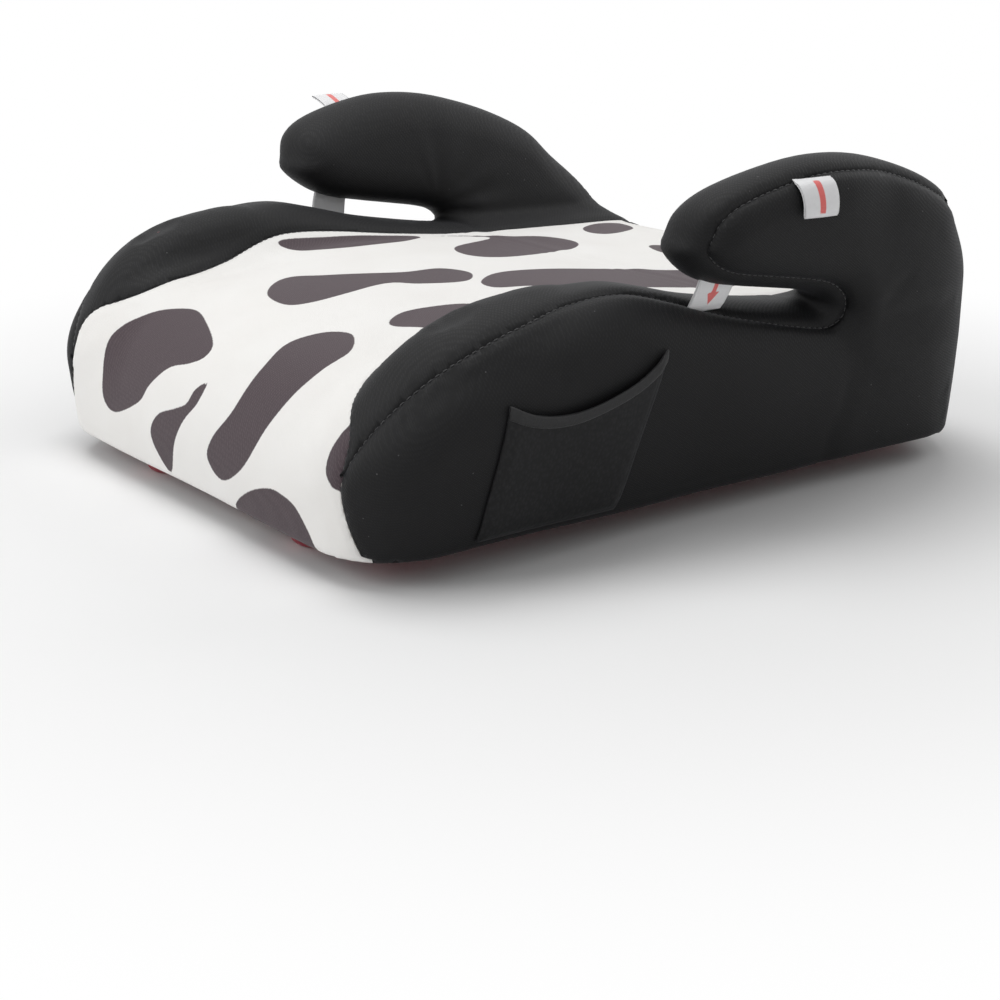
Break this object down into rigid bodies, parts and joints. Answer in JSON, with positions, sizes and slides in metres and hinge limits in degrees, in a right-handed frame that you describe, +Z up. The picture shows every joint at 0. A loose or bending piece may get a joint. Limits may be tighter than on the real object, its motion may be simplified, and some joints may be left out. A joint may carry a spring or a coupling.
{
  "type": "booster seat",
  "caption": "Backless child booster seat: moulded base with belt horns at both sides under a sewn stretch cover with side pockets.",
  "frame": {"origin": "centre of the bounding box on the floor under the feet", "axes": "+Z up, the front of the seat faces -Y, +X is the seated child's left"},
  "size_m": [0.3906, 0.392, 0.1695],
  "materials": {
    "base_plastic": "smooth dark red blow-moulded plastic, slightly waxy",
    "foam": "soft off-white sponge foam",
    "printed_fabric": "off-white stretch knit printed with dark irregular patches",
    "black_fabric": "black stretch knit bonded to thin sponge, soft sheen",
    "pocket_knit": "black ribbed stretch knit",
    "binding": "black folded knit edge",
    "elastic": "black covered elastic cord",
    "label": "white satin label with a woven red mark"
  },
  "bodies": {
    "root": {"base_shell": "base_plastic", "seat_foam": "foam", "arm_foam_left": "foam", "arm_foam_right": "foam", "centre_panel": "printed_fabric", "back_panel": "black_fabric", "inner_panel_left": "black_fabric", "inner_panel_right": "black_fabric", "side_panel_left": "black_fabric", "side_panel_right": "black_fabric", "hem_fold": "black_fabric", "hem_elastic": "elastic", "pocket_left": "pocket_knit", "pocket_right": "pocket_knit", "pocket_binding_left": "binding", "pocket_binding_right": "binding", "arm_tag_left": "label", "arm_tag_right": "label", "belt_tag_left": "label", "belt_tag_right": "label"}
  },
  "joints": []
}
